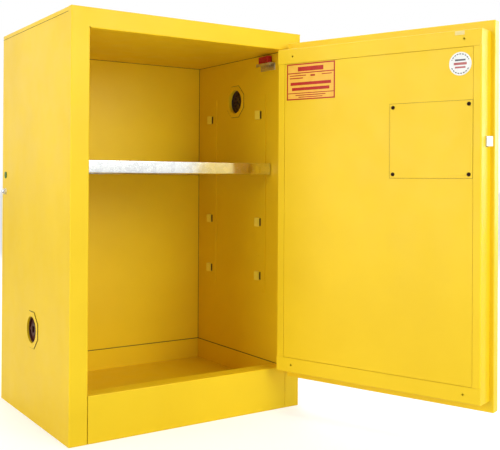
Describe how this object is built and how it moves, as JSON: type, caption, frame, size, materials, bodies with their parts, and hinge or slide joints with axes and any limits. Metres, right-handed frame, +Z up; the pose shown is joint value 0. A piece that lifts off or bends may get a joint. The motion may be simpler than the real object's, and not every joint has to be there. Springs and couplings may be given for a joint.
{
  "type": "flammable liquids safety cabinet",
  "caption": "Double-walled sheet-steel safety cabinet for flammable liquids, with one shelf, a sump, bunged vents and a right-hung hinged door that stands open.",
  "frame": {"origin": "centre of the carcass's footprint, on the floor", "axes": "+Z up; the door opening faces -Y; +X is to the right seen from the front"},
  "size_m": [0.7178, 0.9447, 0.889],
  "materials": {
    "powder_coat": "smooth powder coat",
    "zinc_sheet": "zinc-coated sheet",
    "zinc_plate": "zinc plated",
    "lock_metal": "plated",
    "bung_plastic": "matt",
    "seal_rubber": "matt",
    "black_plastic": "matt",
    "black_metal": "satin black",
    "red_plastic": "gloss",
    "green_plastic": "gloss",
    "label_film": "satin film",
    "sticker_film": "satin film",
    "tag_film": "matt film"
  },
  "bodies": {
    "cabinet": {"side_left": "powder_coat", "side_right": "powder_coat", "back_panel": "powder_coat", "top_panel": "powder_coat", "base_panel": "powder_coat", "top_rail": "powder_coat", "kick_plate": "powder_coat", "liner_left": "powder_coat", "liner_right": "powder_coat", "liner_back": "powder_coat", "liner_ceiling": "powder_coat", "sump_pan": "powder_coat", "sump_bearers": "powder_coat", "standard_front_left": "powder_coat", "standard_back_left": "powder_coat", "standard_front_right": "powder_coat", "standard_back_right": "powder_coat", "strike_plate": "zinc_plate", "vent_flange_low": "powder_coat", "vent_seal_low": "seal_rubber", "vent_duct_low": "zinc_plate", "vent_arrester_low": "zinc_plate", "vent_inner_low": "powder_coat", "vent_flange_high": "powder_coat", "vent_seal_high": "seal_rubber", "vent_duct_high": "zinc_plate", "vent_arrester_high": "zinc_plate", "vent_inner_high": "powder_coat", "earth_stud": "zinc_plate", "earth_nuts": "zinc_plate", "earth_washers": "zinc_plate", "earth_marker": "green_plastic", "link_bracket": "zinc_plate", "link_block": "red_plastic", "hinge_leaf_frame": "powder_coat", "hinge_pin": "zinc_plate", "hinge_rivets_frame": "zinc_plate"},
    "shelf": {"shelf": "zinc_sheet"},
    "door": {"door_skin": "powder_coat", "door_channel_top": "powder_coat", "door_channel_bottom": "powder_coat", "door_channel_hinge": "powder_coat", "door_channel_free": "powder_coat", "door_panel": "powder_coat", "door_stiffener": "powder_coat", "access_plate": "powder_coat", "access_plugs": "black_plastic", "door_label": "label_film", "door_sticker": "sticker_film", "door_tag": "tag_film", "hinge_leaf_door": "powder_coat", "hinge_rivets_door": "zinc_plate", "latch_case": "zinc_plate", "paddle_dish": "black_plastic", "lock_barrel": "lock_metal"},
    "latch_bolt": {"latch_bolt": "zinc_plate"},
    "paddle": {"paddle": "black_metal"},
    "lock_plug": {"lock_plug": "lock_metal"},
    "vent_plug_low": {"vent_plug_low": "bung_plastic"},
    "vent_plug_high": {"vent_plug_high": "bung_plastic"}
  },
  "joints": [
    {"name": "door_hinge", "type": "hinge", "parent": "cabinet", "child": "door", "pos_m": [0.2469, -0.2372, 0.472], "axis": [0, 0, 1], "range_deg": [-109, 71]},
    {"name": "shelf_lift", "type": "slide", "parent": "cabinet", "child": "shelf", "axis": [0, 0, 1], "range_m": [0, 0.08]},
    {"name": "paddle_pull", "type": "hinge", "parent": "door", "child": "paddle", "pos_m": [0.39121, -0.63848, 0.666], "axis": [0.3256, -0.9455, 0], "range_deg": [0, 35], "stiffness_Nm_per_rad": 0.4, "springref_deg": -17.19},
    {"name": "latch_slide", "type": "slide", "parent": "door", "child": "latch_bolt", "axis": [-0.3256, 0.9455, 0], "range_m": [0, 0.012]},
    {"name": "lock_turn", "type": "hinge", "parent": "door", "child": "lock_plug", "pos_m": [0.39593, -0.63685, 0.582], "axis": [0.9455, 0.3256, 0], "range_deg": [0, 90]},
    {"name": "bung_low_pull", "type": "slide", "parent": "cabinet", "child": "vent_plug_low", "axis": [-1, 0, 0], "range_m": [0, 0.02]},
    {"name": "bung_high_pull", "type": "slide", "parent": "cabinet", "child": "vent_plug_high", "axis": [1, 0, 0], "range_m": [0, 0.02]}
  ],
  "couplings": [
    {"joint": "latch_slide", "follows": "paddle_pull", "m_per_rad": 0.0196}
  ]
}
